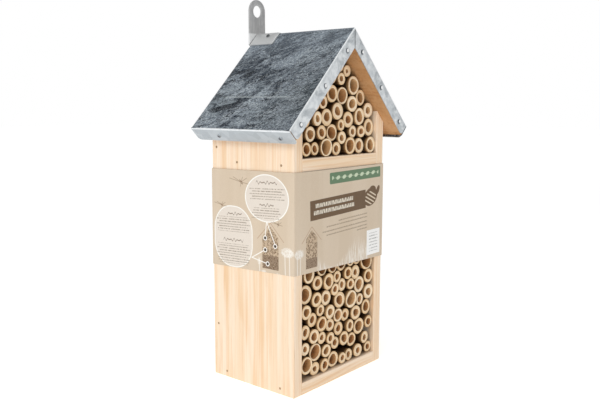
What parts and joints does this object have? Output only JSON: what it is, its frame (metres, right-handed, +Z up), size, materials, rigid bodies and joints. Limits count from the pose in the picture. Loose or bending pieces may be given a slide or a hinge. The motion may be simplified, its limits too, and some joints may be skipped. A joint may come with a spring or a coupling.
{
  "type": "insect hotel",
  "caption": "Hanging wooden insect hotel: gabled board house packed with hollow canes, folded zinc roof, bent hanging bracket and a card band that slides on the body.",
  "frame": {"origin": "middle of the house's underside", "axes": "+Z up, -Y towards the open front, +X to the right seen from the front"},
  "size_m": [0.159, 0.1076, 0.32],
  "materials": {
    "pine": "planed, untreated",
    "cane": "sawn ends, smooth skin",
    "zinc": "weathered zinc sheet",
    "bracket_steel": "galvanised",
    "nail_steel": "bright",
    "printed_card": "matt printed card"
  },
  "bodies": {
    "house": {"back_board": "pine", "back_nails": "nail_steel", "base_board": "pine", "base_nails": "nail_steel", "eave_nails": "nail_steel", "gable_nails": "nail_steel", "hanger": "bracket_steel", "hanger_nails": "nail_steel", "lower_canes_01": "cane", "lower_canes_02": "cane", "lower_canes_03": "cane", "lower_canes_04": "cane", "lower_canes_05": "cane", "lower_canes_06": "cane", "lower_canes_07": "cane", "lower_canes_08": "cane", "lower_canes_09": "cane", "lower_canes_10": "cane", "lower_canes_11": "cane", "lower_canes_12": "cane", "lower_canes_13": "cane", "lower_canes_14": "cane", "ridge_nails": "nail_steel", "roof_board_left": "pine", "roof_board_right": "pine", "roof_nails": "nail_steel", "shelf_board": "pine", "shelf_nails": "nail_steel", "side_board_left": "pine", "side_board_right": "pine", "upper_canes_01": "cane", "upper_canes_02": "cane", "upper_canes_03": "cane", "upper_canes_04": "cane", "upper_canes_05": "cane", "zinc_roof": "zinc"},
    "band": {"card_band": "printed_card"}
  },
  "joints": [
    {"name": "band_slide", "type": "slide", "parent": "house", "child": "band", "axis": [0, 0, 1], "range_m": [-0.0965, 0.035]}
  ]
}
